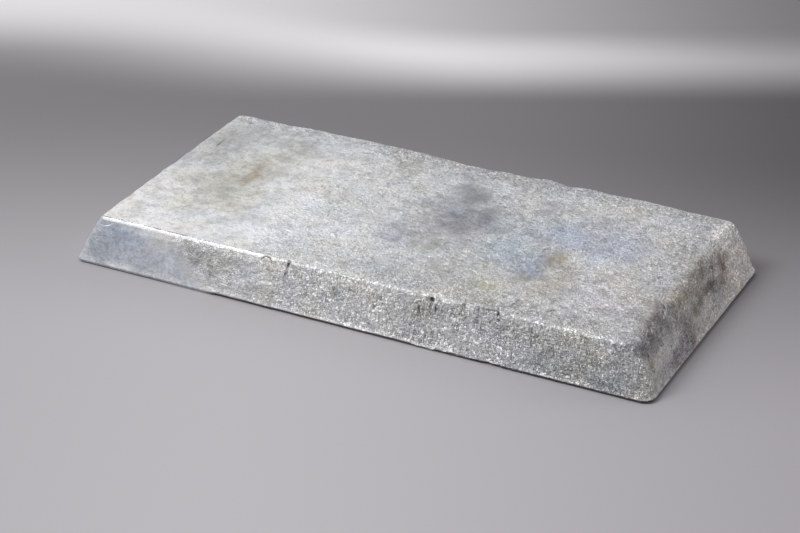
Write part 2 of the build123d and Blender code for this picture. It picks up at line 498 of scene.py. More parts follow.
# Painted shade: strength and width of that in the cracks, depths between which a hollow catches it, and
# the directions, levels and insets between which the painted shade along the lip's foot sets in or ends
CRACK_SHADE = 1.4
CRACK_SHADE_WIDTH = 1.4
SHADED_HOLLOW = (1.1, 1.9)
LIP_SHADE_FACING = (-0.35, 0.05)
LIP_SHADE_UP = (2.0, 3.1)
LIP_SHADE_IN = (2.5, 6)

# Shine of the scratches, the most that they take, and how strongly the painted shade of cracks and
# hollows dims the scratches and the painted edge highlight
SCRATCH_SHINE = 2.4
MOST_SCRATCH_SHINE = 0.8
SHADE_DIMS = 1.6

# Noises of the finish: grain, detail, roughness and how they are squeezed along X, Y and Z
FINISH_NOISES = {
    "broad": (34, 3, 0.55, (1, 1, 1)),
    "hue": (24, 2, 0.5, (1, 1, 1)),
    "middle": (11, 3, 0.6, (1, 1, 1)),
    "small": (5.0, 3, 0.65, (1, 1, 1)),
    "fine": (2.2, 2, 0.6, (1, 1, 1)),
    "strands": (5.5, 4, 0.7, (1, 1, 1)),
    "drips": (3.0, 3, 0.65, (1, 1, 0.3)),
    "folds": (3.2, 3, 0.65, (0.35, 0.35, 1)),
}

# Coarse grain: width of a grain, how it is squeezed, and the share of noise that roughens it
GRAIN = 2.6
GRAIN_SQUEEZE = (1, 1, 1.3)
GRAIN_NOISE = 0.5

# Shares in which noises add up
NOISE_SUMS = {
    "tone": (("broad", 0.9), ("middle", 1.3), ("small", 1.5)),
    "bare tone": (("small", 0.45), ("fine", 0.55)),
    "bare": (("broad", 0.6), ("middle", 0.7), ("small", 0.9)),
    "pit_shade": (("fine", 0.6), ("small", 0.4)),
    "height": (("fine", 1.0), ("small", 1.4), ("middle", 1.2)),
}

# What the middle of the fine noise takes from the tone, and what rough skin adds to it
FINE_MIDDLE = -0.5
ROUGH_PALES = 0.38

# Values between which a part of the finish comes to show, or the reverse
LIMITS = {
    "pale": (1.4, 2.3),
    "hue": (0.3, 0.7),
    "bare tone": (0.36, 0.64),
    "bare": (1.2, 2.0),
    "pit_shade": (0.34, 0.44),
    "flecks_and_glints": (0.38, 0.62),
    "grains": (0.4, 1.0),
    "gap_shade": (0.78, 0.98),
    "crest_highlight": (0.35, 0.6),
    "scratch_and_edge_highlight": (0.0, 0.8),
}

# Strength of a part of the finish on smooth and on rough skin
STRENGTHS = {
    "fine": (0.25, 2.1),
    "pit_shade": (0.06, 0.9),
    "crease_shade": (0.02, 0.95),
    "flecks_and_glints": (0.35, 1.5),
    "veil": (0.95, 0.1),
    "bump": (0.3, 3.4),
}

# Half width of the thin lines that follow the middle of a noise
LINE_WIDTHS = {"drips": 0.03, "strands": 0.025, "folds": 0.05, "small": 0.05}

# Strength with which each layer covers what is under it
COVERS = {
    "bare": 0.9,
    "pit_shade": 1.0,
    "crease_shade": 1.0,
    "flecks_and_glints": 1.0,
    "gap_shade": 0.13,
    "crest_highlight": 0.55,
    "recess_shade": 0.95,
    "scratch_and_edge_highlight": 0.9,
}

# Tints of the oxide, dark and bright tone of the bare metal, how much of the stains and painted light it
# takes, and the share of the flecks and painted glints that it keeps
WARM_TINT = (1.02, 1.0, 0.95, 1)
COOL_TINT = (0.985, 1.0, 1.04, 1)
BARE_TONES = (0.80, 1.2)
BARE_TINT = 0.8
BARE_FLECKS_AND_GLINTS = 0.3

# Colours of the painted shade in pits and between grains, of the painted shade in creases, of the flecks
# with painted glints, and of the scratches with the painted edge highlight
SHADE_GREY = (0.2, 0.2, 0.2, 1)
CREASE_SHADE_GREY = (0.2, 0.2, 0.195, 1)
FLECK_AND_GLINT_WHITE = (0.98, 0.985, 0.99, 1)
SCRATCH_AND_HIGHLIGHT_WHITE = (0.92, 0.93, 0.94, 1)

# Chips out of the painted edge highlight and the scratches: share of the mark and of the small noise
EDGE_SHARE = 1.9
CHIP_SHARE = -0.9

# Sheen of the metal, roughness of its surface, and share of the flecks and painted glints that are as
# bright as the highlighted edge
METALLIC = 0.45
SURFACE = {"grey": 0.58, "pale": 0.46, "bare": 0.36, "scratch_and_edge_highlight": 0.28}
BRIGHT_FLECKS_AND_GLINTS = 0.8

# What each part adds to the bump's height, the middle of the sum, and how much of the bump the
# bare metal and the scratches with the painted edge highlight have
DRIP_HEIGHT = 1.4
HEIGHTS = {"crease_shade": -0.5, "flecks_and_glints": 0.3, "rough": -1.2, "gap_shade": -0.2, "crest_highlight": 0.25}
HEIGHT_MIDDLE = 1.8
BARE_BUMP = 0.35
SCRATCH_AND_HIGHLIGHT_BUMP = 0.5

# Directions across the floor, in metres: away from the camera and to its right
AWAY = (-0.453, 0.891, 0)
ASIDE = (0.891, 0.453, 0)

# Places to the right between which each colour of the floor changes from its left to its right one
FLOOR_SIDES = {
    "near": (-0.1, 0.4),
    "dark": (0.0, 0.42),
    "band": (-0.05, 0.45),
    "far": (-0.35, 0.5),
}

# Where a colour of the floor sets in, and where it is full: two places to the right, and the
# distance away from the camera that it has at each of them
FLOOR_STARTS = {
    "dark": (-0.3, 0.35, -0.12, -0.26),
    "band": (-0.42, -0.12, 0.345, 0.293),
    "far": (0.1, 0.35, 0.4, 0.37),
}
FLOOR_ENDS = {
    "dark": (-0.3, 0.3, 0.32, 0.2),
    "band": (-0.5, 0.1, 0.67, 0.395),
    "far": (-0.3, 0.1, 0.56, 0.465),
}
LEFT_SHADE_PLACES = (-0.36, -0.1)
PAPER_ROUGHNESS = 0.7

# Direction in which the air is bright, and how far into it the light starts and ends to grow
BRIGHT_SIDE = (-0.80, -0.25, 0.54)
AIR_LIMITS = (-0.7, 0.95)

# Softboxes: place, point that they face and size, in metres
KEY_SOFTBOX = ((-1.0, -1.0, 1.8), (-0.05, 0, 0), (0.9, 0.9))
RIGHT_FILL = ((1.5, 0.9, 0.8), (0.2, 0, 0), (0.8, 0.8))

# Camera: place in metres, turn to the left and tilt down in degrees, and width of its sensor
CAMERA_PLACE = (0.6912, -1.3848, 0.8274)
CAMERA_TURN = 26.95
CAMERA_TILT = 28.137
SENSOR_WIDTH = 36


def colour_setting(name, description, default):
    """A colour that a user can change."""
    return FloatVectorProperty(
        name=name, description=description, default=default, subtype="COLOR", size=3
    )


class SlabSizes(bpy.types.PropertyGroup):
    """Sizes of the slab's skin."""

    cell: FloatProperty(
        name="Cell",
        description="Width of one face of the skin on the flat top",
        default=1.55 * MM,
        unit="LENGTH",
    )
    foot_cell: FloatProperty(
        name="Foot cell",
        description="Width of one face of the skin on the pouring face",
        default=3.4 * MM,
        unit="LENGTH",
    )
    relief: FloatProperty(
        name="Relief",
        description="Share of the full depth that the casting's relief has",
        default=1.0,
        subtype="FACTOR",
    )


class SlabColours(bpy.types.PropertyGroup):
    """Colours of the zinc, of what stains it, and of the painted shade in its cracks, hollows and along
    its lip.
    """

    light_zinc: colour_setting("Light zinc", "Colour of the pale oxide skin", (0.74, 0.745, 0.75))
    grey_zinc: colour_setting(
        "Grey zinc", "Colour of the darker oxide between the pale grains", (0.50, 0.505, 0.51)
    )
    bare_zinc: colour_setting(
        "Bare zinc", "Colour of the smooth bluish metal of the clean mould wall", (0.44, 0.47, 0.52)
    )
    # Colour of the painted shade in the cracks, the deep hollows and along the foot of the lip
    crack_and_lip_shade: colour_setting(
        "Crack dirt", "Colour of the dirt in cracks and pits", (0.035, 0.032, 0.033)
    )


class StudioSettings(bpy.types.PropertyGroup):
    """Floor with its painted light and shade, lamps and camera."""

    floor_colour: colour_setting(
        "Floor colour", "Colour of the paper floor in front of the slab", (0.394, 0.380, 0.396)
    )
    # Painted shade on the floor at the right
    floor_right_shade_colour: colour_setting(
        "Floor right colour", "Colour of the paper floor at the right", (0.310, 0.294, 0.315)
    )
    left_shade: FloatProperty(
        name="Left shade",
        description="Share of its brightness that the floor keeps at the left",
        default=0.86,
        subtype="FACTOR",
    )
    # Painted band of light across the floor behind the slab, dim at the right
    painted_band_left_colour: colour_setting(
        "Band left colour",
        "Colour of the bright band across the paper behind the slab, at the left",
        (0.70, 0.685, 0.69),
    )
    painted_band_right_colour: colour_setting(
        "Band right colour",
        "Colour of the bright band across the paper behind the slab, at the right",
        (0.30, 0.285, 0.30),
    )
    # Painted light and shade beyond the band: bright at the left, dark at the right
    far_left_colour: colour_setting(
        "Far left colour",
        "Colour of the paper beyond the bright band at the left",
        (0.66, 0.645, 0.65),
    )
    far_right_colour: colour_setting(
        "Far right colour",
        "Colour of the paper beyond the bright band at the right",
        (0.135, 0.128, 0.135),
    )
    # Painted shade on the floor behind the slab
    shade_behind_left_colour: colour_setting(
        "Back left colour", "Colour of the paper behind the slab at the left", (0.157, 0.148, 0.156)
    )
    shade_behind_right_colour: colour_setting(
        "Back right colour",
        "Colour of the paper behind the slab at the right",
        (0.061, 0.056, 0.061),
    )
    bright_air: colour_setting("Bright air", "Light that comes from the left", (0.84, 0.84, 0.86))
    dim_air: colour_setting("Dim air", "Light that comes from the right", (0.14, 0.135, 0.14))
    key_power: FloatProperty(
        name="Key power",
        description="Power in watts of the softbox at the front left",
        default=36.0,
    )
    fill_power: FloatProperty(
        name="Fill power",
        description="Power in watts of the weak softbox at the back right",
        default=4.6,
    )
    floor_width: FloatProperty(
        name="Floor width",
        description="Side of the square floor",
        default=12.0,
        unit="LENGTH",
    )
    lens: FloatProperty(
        name="Lens",
        description="Focal length of the camera for a 36 mm sensor",
        default=106.17,
    )


def wall_reach(casting, level):
    """Where the four walls of the casting stand at a level: left, right, front and back."""
    low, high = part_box(casting.name)
    middle = Vector(((low.x + high.x) / 2, (low.y + high.y) / 2, level))
    reach = []
    for axis, side in (("x", low.x), ("x", high.x), ("y", low.y), ("y", high.y)):
        start = middle.copy()
        setattr(start, axis, 2 * side)
        hit, point, _, _ = casting.ray_cast(start, middle - start)
        if not hit:
            raise RuntimeError(f"no wall at level {level}")
        reach.append(getattr(point, axis))
    return reach


def round_sheet_corners(sheet, reach, radii):
    """Press the square corners of a flat sheet into quarter circles."""
    left, right, front, back = reach
    corners = (
        (left, 1, front, 1, radii[0]),
        (right, -1, front, 1, radii[1]),
        (right, -1, back, -1, radii[2]),
        (left, 1, back, -1, radii[3]),
    )
    for v in sheet.data.vertices:
        for x_edge, x_in, y_edge, y_in, radius in corners:
            a = 1 - (v.co.x - x_edge) * x_in / (radius * MM)
            b = 1 - (v.co.y - y_edge) * y_in / (radius * MM)
            if a > 0 and b > 0:
                v.co.x = x_edge + x_in * radius * MM * (1 - a * math.sqrt(1 - b * b / 2))
                v.co.y = y_edge + y_in * radius * MM * (1 - b * math.sqrt(1 - a * a / 2))


def sheet_ops(reach, level, cell):
    """Add a flat grid that fills a rectangle at a level, in the current mode."""
    left, right, front, back = reach
    centre = ((left + right) / 2, (front + back) / 2, level)
    bpy.ops.mesh.primitive_grid_add(
        x_subdivisions=round((right - left) / cell),
        y_subdivisions=round((back - front) / cell),
        size=1,
        location=centre,
    )
    return centre, (right - left, back - front, 1)


def add_top_sheet(casting, sizes):
    """The flat top of the slab, a grid with rounded corners."""
    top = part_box(casting.name)[1].z
    reach = wall_reach(casting, top - HAIR * MM)
    centre, spread = sheet_ops(reach, top, sizes.cell)
    sheet = bpy.context.active_object
    sheet.scale = spread
    bpy.ops.object.transform_apply(location=True, rotation=True, scale=True)
    round_sheet_corners(sheet, reach, TOP_CORNER_RADII)
    return sheet, reach


def wall_levels(top, cell):
    """Levels of the rings from the top edge down to the floor."""
    start = top - CROWN_DEPTHS[-1] * MM
    end = LIP_LEVELS[0] * MM
    count = round((start - end) / (RING_SHARE * cell))
    wall = [start + (end - start) * k / count for k in range(1, count)]
    return [top - depth * MM for depth in CROWN_DEPTHS] + wall + [level * MM for level in LIP_LEVELS]


def extrude_ring(old, new, drop):
    """Extrude the selected loop and fit it to a new outline further down."""
    centre = ((old[0] + old[1]) / 2, (old[2] + old[3]) / 2, 0)
    shift = ((new[0] + new[1]) / 2 - centre[0], (new[2] + new[3]) / 2 - centre[1], drop)
    bpy.ops.mesh.extrude_edges_move()
    bpy.ops.transform.resize(
        value=((new[1] - new[0]) / (old[1] - old[0]), (new[3] - new[2]) / (old[3] - old[2]), 1),
        center_override=centre,
    )
    bpy.ops.transform.translate(value=shift)


def drop_walls(casting, top, reach, sizes):
    """Draw the walls down from the sheet's edge, ring by ring, and turn them under."""
    bpy.ops.object.mode_set(mode="EDIT")
    bpy.ops.mesh.select_mode(type="EDGE")
    bpy.ops.mesh.select_all(action="SELECT")
    bpy.ops.mesh.region_to_loop()
    level = top
    for target in wall_levels(top, sizes.cell):
        new = wall_reach(casting, max(target, 2 * HAIR * MM))
        extrude_ring(reach, new, target - level)
        reach, level = new, target
    for inset in FOOT_INSETS:
        new = [
            reach[0] + inset * MM,
            reach[1] - inset * MM,
            reach[2] + inset * MM,
            reach[3] - inset * MM,
        ]
        extrude_ring(reach, new, 0)
        reach = new
    return reach


def close_foot(reach, sizes):
    """Fill the pouring face with a coarser sheet, bridged to the last ring."""
    gap = FOOT_GAP * MM
    inner = [reach[0] + gap, reach[1] - gap, reach[2] + gap, reach[3] - gap]
    bpy.ops.object.vertex_group_assign_new()
    bpy.ops.mesh.select_all(action="DESELECT")
    centre, spread = sheet_ops(inner, 0, sizes.foot_cell)
    bpy.ops.transform.resize(value=spread, center_override=centre)
    bpy.ops.mesh.flip_normals()
    bpy.ops.mesh.region_to_loop()
    bpy.ops.object.vertex_group_select()
    bpy.ops.mesh.bridge_edge_loops()
    bpy.ops.object.vertex_group_remove(all=True)
    bpy.ops.mesh.select_all(action="SELECT")
    bpy.ops.mesh.normals_make_consistent(inside=False)
    bpy.ops.object.mode_set(mode="OBJECT")


def press_to_casting(skin, casting):
    """Press the skin onto the solid, so it takes the solid's rounds, flare and dish."""
    press = skin.modifiers.new("press", "SHRINKWRAP")
    press.target = casting
    press.wrap_method = "NEAREST_SURFACEPOINT"
    bpy.ops.object.modifier_apply(modifier=press.name)


def skin_points(skin):
    """Places of the skin's vertices in mm and their outward directions."""
    count = len(skin.data.vertices)
    places = np.empty(count * 3, np.float32)
    outward = np.empty(count * 3, np.float32)
    skin.data.vertices.foreach_get("co", places)
    skin.data.vertex_normals.foreach_get("vector", outward)
    return places.reshape(-1, 3) / MM, outward.reshape(-1, 3)


def ease(value, low, high):
    """Smooth climb from 0 at the low value to 1 at the high one."""
    share = np.clip((value - low) / (high - low), 0, 1)
    return share * share * (3 - 2 * share)


def climb(value, profile):
    """A share that starts at one value and climbs by steps, each over its own stretch."""
    share, *steps = profile
    for step, low, high in steps:
        share = share + step * ease(value, low, high)
    return share


def line_distance(places, course):
    """Distance of each place from a bent line."""
    nearest = np.full(len(places), np.inf)
    for start, end in zip(course, course[1:]):
        start, run = np.array(start), np.array(end, float) - np.array(start)
        share = np.clip((places - start) @ run / (run @ run), 0, 1)
        away = places - start - share[:, None] * run
        nearest = np.minimum(nearest, np.linalg.norm(away, axis=1))
    return nearest


def line_marks(places, lines, widen=1.0):
    """Depth that a table of lines gives each place, deepest along the middle of a line."""
    depth = np.zeros(len(places))
    for course, half_width, line_depth in lines:
        share = np.clip(1 - (line_distance(places, course) / (half_width * widen)) ** 2, 0, 1)
        depth = np.maximum(depth, line_depth * share**CRACK_ROUNDING)
    return depth


def patch_distance(places, centre, halves):
    """Distance of each place from the centre of a patch, as a share of its half sizes."""
    return np.linalg.norm((places - np.array(centre)) / np.array(halves), axis=1)


def hollow_marks(places, sign):
    """Depth that the hollows, or with sign -1 the swells, give each place."""
    depth = np.zeros(len(places))
    for centre, halves, hollow_depth in HOLLOWS:
        if hollow_depth * sign > 0:
            share = 1 - ease(patch_distance(places, centre, halves), *HOLLOW_FADE)
            depth = np.maximum(depth, hollow_depth * sign * share)
    return depth


def rim_inset(places):
    """How far each place lies inside the outline of the foot."""
    return np.minimum(HALF_LENGTH - np.abs(places[:, 0]), HALF_WIDTH - np.abs(places[:, 1]))


def corner_share(x, z, corner):
    """Share of a clean corner that each place has, full towards the left end."""
    lip_end, lean, before, after = corner
    end = lip_end - (z - LIP_TOP) * lean
    return 1 - ease(x, end - before, end + after)


def rough_top_share(x, y, top):
    """How rough the flat top is: more towards the right and along three of its rims."""
    front_rim = ease(-y, *FRONT_RIM_FROM) * ease(x, *FRONT_RIM_ALONG)
    rough = TOP_ROUGHNESS + climb(x, CENTRE_ROUGHNESS) + FRONT_RIM * front_rim
    rough = rough + RIGHT_RIM * ease(x, *RIGHT_RIM_FROM) + BACK_RIM * ease(y, *BACK_RIM_FROM)
    return top * np.clip(rough, 0, 1)


def skin_zones(places, outward):
    """Where on the casting each kind of relief lies, as a share from 0 to 1."""
    x, y, z = places.T
    rightward, backward, upward = outward.T
    top = ease(upward, *TOP_FACING) * (z > TOP_LEVEL)
    foot = (upward < FOOT_FACING) * ease(HALF_LENGTH - FOOT_MARGIN - np.abs(x), 0, FOOT_FADE)
    foot = foot * ease(HALF_WIDTH - FOOT_MARGIN - np.abs(y), 0, FOOT_FADE)
    wall = (1 - top) * (upward > UNDERSIDE_FACING)
    front = ease(-backward, *WALL_FACING) * wall
    left = ease(-rightward, *WALL_FACING) * wall
    back = ease(backward, *WALL_FACING) * wall
    smooth_left = left * climb(y, SMOOTH_LEFT)
    rough_front = climb(x, FRONT_ROUGHNESS) * (1 - SMOOTH_SHARE * corner_share(x, z, SMOOTH_CORNER))
    rough_wall = wall * np.where(backward < FRONT_FACING, rough_front, 1.0)
    rough_wall *= (1 - LEFT_LOSS * left) * (1 - SMOOTH_LEFT_LOSS * smooth_left) * (1 - BACK_LOSS * back)
    rough_wall *= climb(z, WALL_FOOT_ROUGHNESS)
    bare_front = front * corner_share(x, z, BARE_CORNER)
    return {
        "all": (1 - FOOT_LOSS * foot) * ease(z, *SAG_FROM),
        "top": top,
        "rough top": rough_top_share(x, y, top),
        "foot": foot,
        "rough wall": rough_wall,
        "granular": front * climb(x, GRAIN_ALONG) * climb(z, GRAIN_UP),
        "clean corner": np.maximum(bare_front, BARE_LEFT * smooth_left),
    }


def paint_weights(skin, name, weights):
    """Paint a vertex group in small steps."""
    group = skin.vertex_groups.new(name=name)
    steps = np.rint(np.clip(weights, 0, 1) * WEIGHT_STEPS).astype(int)
    for step in range(1, WEIGHT_STEPS + 1):
        chosen = np.flatnonzero(steps == step)
        if len(chosen):
            group.add(chosen.tolist(), step / WEIGHT_STEPS, "REPLACE")
    return group


def displace(skin, name, weights, depth, texture=None, direction="NORMAL"):
    """Move the skin by a depth in mm, weighted, plain or through a texture, and apply it."""
    group = paint_weights(skin, name, weights)
    layer = skin.modifiers.new(name, "DISPLACE")
    layer.vertex_group = group.name
    layer.strength = depth * MM
    layer.mid_level = 0.5 if texture else 0
    layer.direction = direction
    if texture:
        layer.texture = texture
        layer.texture_coords = "LOCAL"
    bpy.ops.object.modifier_apply(modifier=layer.name)
    skin.vertex_groups.remove(skin.vertex_groups[name])


def add_relief(skin, relief):
    """The uneven skin that the mould and the freezing metal leave."""
    places, outward = skin_points(skin)
    zones = skin_zones(places, outward)
    for name, grain, depth, basis, zone in RELIEF:
        noise = bpy.data.textures.new(name, "CLOUDS")
        noise.noise_scale = grain * MM
        noise.noise_basis = basis
        noise.noise_depth = RELIEF_DETAIL
        displace(skin, name, zones[zone], depth * relief, noise)


def bumps_along(x, bumps):
    """Height that a row of rounded bumps gives each place along an edge."""
    height = np.zeros(len(x))
    for place, half_width, bump in bumps:
        height += bump * np.exp(-(((x - place) / half_width) ** 2))
    return height


def front_gap(x):
    """Gap under the front lip, stretch by stretch."""
    gap = np.zeros(len(x))
    for start, end, lift, fade in FRONT_LIP:
        rising = ease(x, start - fade, start + fade)
        falling = 1 - ease(x, end - fade, end + fade)
        gap = np.maximum(gap, lift * rising * falling)
    return gap


def lip_gap(places):
    """Gap that the lip leaves above the floor at each place."""
    x, y, z = places.T
    inset = rim_inset(places)
    front = y < FRONT_LIP_INSET - HALF_WIDTH
    gap = np.where(front, 0, OTHER_GAP)
    right_end = (x > HALF_LENGTH - RIGHT_LIP_INSET) & (y > RIGHT_LIP_START - HALF_WIDTH)
    gap = np.where(right_end, RIGHT_GAP, gap)
    gap = np.where(front & (inset < FRONT_LIP_WIDTH), np.maximum(gap, front_gap(x)), gap)
    gap += np.where(front, bumps_along(x, LIP_BITES), 0)
    near_lip = (1 - ease(z, *GAP_UP)) * (1 - ease(inset, *GAP_IN))
    return gap * near_lip


def add_edge_waves(skin):
    """Swells and sags of the back top edge, and the lip that hangs above the floor."""
    places, _ = skin_points(skin)
    x, y, z = places.T
    near_edge = ease(y, *WAVES_ACROSS) * ease(z, *WAVES_UP)
    rise = bumps_along(x, BACK_WAVES) * near_edge
    displace(skin, "edge swells", rise / WAVE_REACH, WAVE_REACH, direction="Z")
    displace(skin, "edge sags", -rise / WAVE_REACH, -WAVE_REACH, direction="Z")
    displace(skin, "lip gap", lip_gap(places) / GAP_REACH, GAP_REACH, direction="Z")


def choose(skin, points=None, faces=None):
    """Select the given vertices or faces and nothing else, before edit mode is entered."""
    mesh = skin.data
    for layer, chosen in ((mesh.vertices, points), (mesh.edges, None), (mesh.polygons, faces)):
        layer.foreach_set("select", np.zeros(len(layer), bool) if chosen is None else chosen)


def refine_lines(skin, lines):
    """Split the faces round each crack, so its edges come out crisp."""
    count = len(skin.data.polygons)
    centres = np.empty(count * 3, np.float32)
    skin.data.polygons.foreach_get("center", centres)
    centres = centres.reshape(-1, 3) / MM
    near = np.zeros(count, bool)
    for course, half_width, _ in lines:
        near |= line_distance(centres, course) < half_width + REFINED_WIDTH
    choose(skin, faces=near)
    bpy.ops.object.mode_set(mode="EDIT")
    bpy.ops.mesh.select_mode(type="FACE")
    bpy.ops.mesh.subdivide(number_cuts=1)
    bpy.ops.object.mode_set(mode="OBJECT")


def add_marks(skin):
    """Hollows, cracks and scratches, each at its own place."""
    places, _ = skin_points(skin)
    displace(skin, "hollows", hollow_marks(places, 1) / HOLLOW_REACH, -HOLLOW_REACH)
    displace(skin, "swells", hollow_marks(places, -1) / SWELL_REACH, SWELL_REACH)
    places, _ = skin_points(skin)
    displace(skin, "cracks", line_marks(places, CRACKS) / CRACK_REACH, -CRACK_REACH)
    scratches = line_marks(wavering(places, frayed(places)), SCRATCHES)
    displace(skin, "scratches", scratches / SCRATCH_REACH, -SCRATCH_REACH)


def settle(skin, top):
    """Keep the skin above the floor and under the height that the solid allows."""
    roof = top / MM + HEADROOM
    places, _ = skin_points(skin)
    for out, limit in ((places[:, 2] < 0, 0), (places[:, 2] > roof, roof * MM)):
        if not out.any():
            continue
        choose(skin, points=out)
        bpy.ops.object.mode_set(mode="EDIT")
        bpy.ops.mesh.select_mode(type="VERT")
        bpy.ops.transform.resize(value=(1, 1, 0), center_override=(0, 0, limit))
        bpy.ops.object.mode_set(mode="OBJECT")


def fray_at(place):
    """How far the noise moves one place."""
    return sum((noise_vector(Vector(place) / grain) * reach for grain, reach in FRAYS), Vector())


def frayed(places):
    """The places moved by a noise, so that the edge of a mark drawn at them comes out frayed."""
    seed_set(FRAY_SEED)
    return places + np.array([fray_at(place) for place in places])


def wavering(places, frayed_places):
    """The places moved by a small share of the fray, so that a line comes out unsteady."""
    return places + WAVER * (frayed_places - places)


def stain_and_light_tints(places):
    """Tint of each place: the stains and the patches of painted light multiplied."""
    tints = np.ones((len(places), 3))
    for centre, halves, tint in STAINS_AND_PAINTED_LIGHT:
        share = 1 - ease(patch_distance(places, centre, halves), *PATCH_FADE)
        tints *= 1 + (np.array(tint) - 1) * share[:, None]
    return tints


def store_tints(skin, name, tints):
    """Keep a tint for each vertex that the finish reads."""
    layer = skin.data.attributes.new(name, "FLOAT_COLOR", "POINT")
    full = np.concatenate((tints, np.ones((len(tints), 1))), axis=1)
    layer.data.foreach_set("color", full.astype(np.float32).ravel())


def store_mask(skin, name, values):
    """Keep a share for each vertex that the finish reads."""
    mask = skin.data.attributes.new(name, "FLOAT", "POINT")
    mask.data.foreach_set("value", np.clip(values, 0, 1).astype(np.float32))


def add_node(tree, kind, inputs, **options):
    """Add a node, set its options, and fill its inputs with values or links."""
    node = tree.nodes.new(kind)
    for option, value in options.items():
        setattr(node, option, value)
    for socket, value in inputs.items():
        if isinstance(value, bpy.types.NodeSocket):
            tree.links.new(value, node.inputs[socket])
        else:
            node.inputs[socket].default_value = value
    return node


def math_node(tree, operation, first, second=0.0, clamp=False):
    """One sum."""
    inputs = {0: first, 1: second}
    return add_node(tree, "ShaderNodeMath", inputs, operation=operation, use_clamp=clamp).outputs[0]


def product(tree, first, second, clamp=False):
    """Two values multiplied."""
    return math_node(tree, "MULTIPLY", first, second, clamp)


def mix_colour(tree, share, first, second, blend="MIX"):
    """One colour laid over another."""
    inputs = {0: share, 6: first, 7: second}
    node = add_node(tree, "ShaderNodeMix", inputs, data_type="RGBA", blend_type=blend)
    return node.outputs[2]


def mix_value(tree, share, first, second):
    """A value between two others."""
    return add_node(tree, "ShaderNodeMix", {0: share, 2: first, 3: second}, data_type="FLOAT").outputs[0]


def noise(tree, place, grain, detail, roughness):
    """A noise with its grain in mm."""
    inputs = {"Vector": place, "Scale": 1 / grain, "Detail": detail, "Roughness": roughness}
    return add_node(tree, "ShaderNodeTexNoise", inputs).outputs[0]


def step_range(tree, value, low, high, start=0.0, end=1.0):
    """Smooth climb of a value between two limits."""
    inputs = {0: value, 1: low, 2: high, 3: start, 4: end}
    node = add_node(tree, "ShaderNodeMapRange", inputs, interpolation_type="SMOOTHSTEP")
    return node.outputs[0]


def thin_lines(tree, noises, name):
    """Thin winding lines where a noise crosses its middle."""
    away = math_node(tree, "ABSOLUTE", math_node(tree, "SUBTRACT", noises[name], 0.5))
    return step_range(tree, away, 0.0, LINE_WIDTHS[name], 1.0, 0.0)


def add_up(tree, *parts):
    """Sum of values, each with its share."""
    total = 0.0
    for value, share in parts:
        total = math_node(tree, "ADD", product(tree, value, share), total)
    return total


def squeezed(tree, place, squeeze):
    """Places scaled along each axis, so that a noise comes out drawn along those scaled down."""
    inputs = {0: place, 1: squeeze}
    return add_node(tree, "ShaderNodeVectorMath", inputs, operation="MULTIPLY").outputs[0]


def shows(tree, value, part):
    """Where a part of the finish shows as its value grows."""
    return step_range(tree, value, *LIMITS[part])


def hides(tree, value, part):
    """Where a part of the finish shows until its value grows too far."""
    return step_range(tree, value, *LIMITS[part], 1.0, 0.0)


def strength(tree, marks, part):
    """Strength of a part of the finish, by how rough the skin is."""
    return mix_value(tree, marks["rough_cast"], *STRENGTHS[part])


def noise_parts(noises, name):
    """The noises of a sum, each with its share."""
    return [(noises[part], share) for part, share in NOISE_SUMS[name]]


def read_marks(tree):
    """The masks and tints that the skin's vertices carry."""
    marks = {}
    for name in ("rough_cast", "bare_zinc", "crack_and_lip_shade", "scratch_and_edge_highlight", "stain_and_light"):
        mark = add_node(tree, "ShaderNodeAttribute", {}, attribute_name=name)
        marks[name] = mark.outputs["Color" if name == "stain_and_light" else "Fac"]
    return marks


def finish_noises(tree, place):
    """The noises that the parts of the finish share."""
    return {
        name: noise(tree, squeezed(tree, place, squeeze), grain, detail, roughness)
        for name, (grain, detail, roughness, squeeze) in FINISH_NOISES.items()
    }


def oxide(tree, marks, noises, colours):
    """Stained oxide with the painted light of the tinted patches, pale over grey, and the share that is
    pale.
    """
    fine_share = strength(tree, marks, "fine")
    tone = add_up(
        tree,
        *noise_parts(noises, "tone"),
        (noises["fine"], fine_share),
        (fine_share, FINE_MIDDLE),
        (marks["rough_cast"], ROUGH_PALES),
    )
    pale = shows(tree, tone, "pale")
    colour = mix_colour(tree, pale, (*colours.grey_zinc, 1), (*colours.light_zinc, 1))
    tint = mix_colour(tree, shows(tree, noises["hue"], "hue"), WARM_TINT, COOL_TINT)
    colour = mix_colour(tree, 1.0, colour, tint, "MULTIPLY")
    return mix_colour(tree, 1.0, colour, marks["stain_and_light"], "MULTIPLY"), pale


def bare_metal(tree, marks, noises, colours):
    """Bluish metal of the clean corner, and the share of it that is bare."""
    tone = shows(tree, add_up(tree, *noise_parts(noises, "bare tone")), "bare tone")
    tone = mix_value(tree, tone, *BARE_TONES)
    colour = mix_colour(tree, 1.0, (*colours.bare_zinc, 1), tone, "MULTIPLY")
    colour = mix_colour(tree, BARE_TINT, colour, marks["stain_and_light"], "MULTIPLY")
    share = add_up(tree, (marks["bare_zinc"], 1.0), *noise_parts(noises, "bare"))
    return colour, shows(tree, share, "bare")


def painted_pit_shade(tree, marks, noises):
    """Painted shade of pits too small for the mesh."""
    pit_shade = hides(tree, add_up(tree, *noise_parts(noises, "pit_shade")), "pit_shade")
    return product(tree, pit_shade, strength(tree, marks, "pit_shade"))


def painted_crease_shade(tree, marks, noises):
    """Painted shade in the thin creases of the rough walls."""
    lines = [thin_lines(tree, noises, name) for name in ("drips", "strands")]
    crease_shade = math_node(tree, "MAXIMUM", *lines)
    return product(tree, crease_shade, strength(tree, marks, "crease_shade"))


